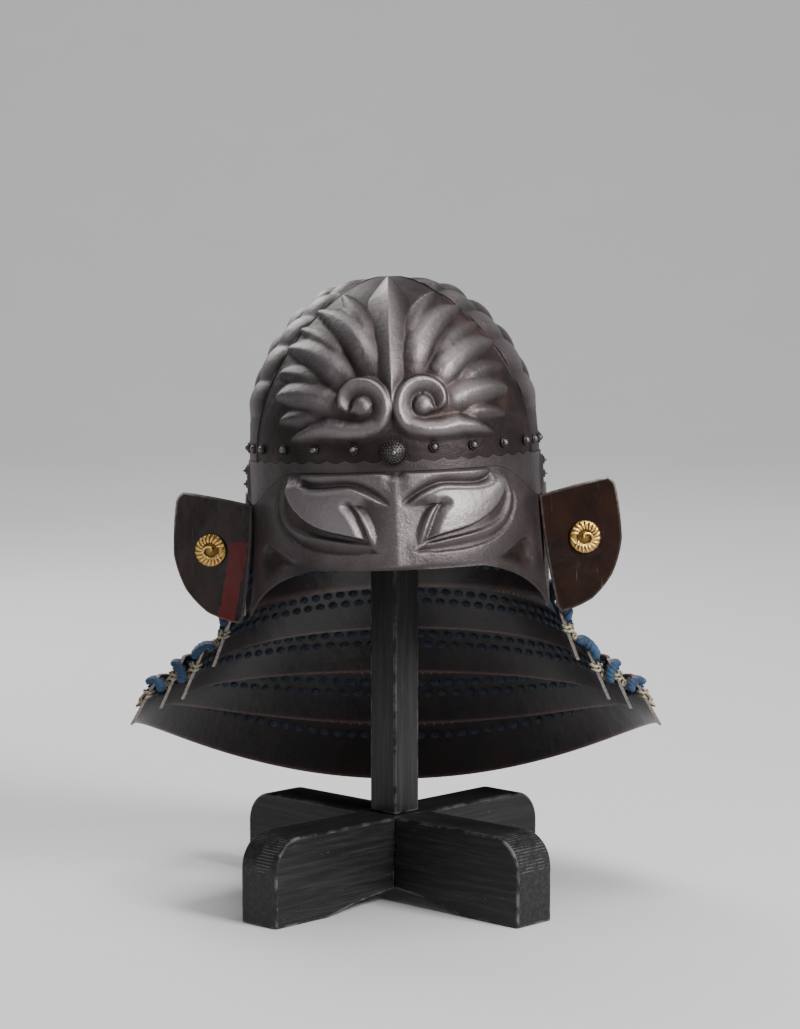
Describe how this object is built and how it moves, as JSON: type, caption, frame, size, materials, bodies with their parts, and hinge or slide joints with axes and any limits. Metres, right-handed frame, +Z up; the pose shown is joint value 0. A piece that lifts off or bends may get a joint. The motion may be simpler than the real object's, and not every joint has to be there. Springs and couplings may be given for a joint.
{
  "type": "samurai helmet on a wooden stand",
  "caption": "Samurai helmet with an embossed iron bowl and visor, turned-back plates and a laced neck guard of flared lames, resting on a post with a crossed foot.",
  "frame": {"origin": "on the floor, under the middle of the whole part's box", "axes": "+Z up, the helmet faces -Y, its right side as seen from the front is +X"},
  "size_m": [0.3948, 0.3374, 0.4631],
  "materials": {
    "iron": "embossed, dark russet patina with worn bright edges",
    "rivet_iron": "dark, beaded",
    "lacquer": "glossy black-brown lacquer over iron",
    "silk": "braided silk lacing, indigo blue",
    "gilt": "worn gilding",
    "stand_wood": "black lacquered wood, satin"
  },
  "bodies": {
    "root": {"stand_beam_upper": "stand_wood", "stand_beam_lower": "stand_wood", "stand_post": "stand_wood", "head_rest": "stand_wood", "bowl_front_plate": "iron", "bowl_plate_right": "iron", "bowl_plate_left": "iron", "brow_band": "iron", "visor": "iron", "front_rosette": "rivet_iron", "rivet_right_1": "rivet_iron", "rivet_right_2": "rivet_iron", "rivet_right_3": "rivet_iron", "rivet_right_4": "rivet_iron", "rivet_right_5": "rivet_iron", "rivet_right_6": "rivet_iron", "rivet_right_7": "rivet_iron", "rivet_right_8": "rivet_iron", "rivet_right_9": "rivet_iron", "rivet_right_10": "rivet_iron", "side_rosette_right_1": "rivet_iron", "side_rosette_right_2": "rivet_iron", "rivet_left_1": "rivet_iron", "rivet_left_2": "rivet_iron", "rivet_left_3": "rivet_iron", "rivet_left_4": "rivet_iron", "rivet_left_5": "rivet_iron", "rivet_left_6": "rivet_iron", "rivet_left_7": "rivet_iron", "rivet_left_8": "rivet_iron", "rivet_left_9": "rivet_iron", "rivet_left_10": "rivet_iron", "side_rosette_left_1": "rivet_iron", "side_rosette_left_2": "rivet_iron", "neck_lame_1": "lacquer", "neck_lame_2": "lacquer", "neck_lame_3": "lacquer", "neck_lame_4": "lacquer", "neck_lame_5": "lacquer", "lacing_on_lame_2": "silk", "lacing_below_lame_1": "silk", "lacing_on_lame_3": "silk", "lacing_below_lame_2": "silk", "lacing_on_lame_4": "silk", "lacing_below_lame_3": "silk", "lacing_on_lame_5": "silk", "lacing_below_lame_4": "silk", "turn_back_right": "lacquer", "crest_right": "gilt", "turn_back_left": "lacquer", "crest_left": "gilt"}
  },
  "joints": []
}
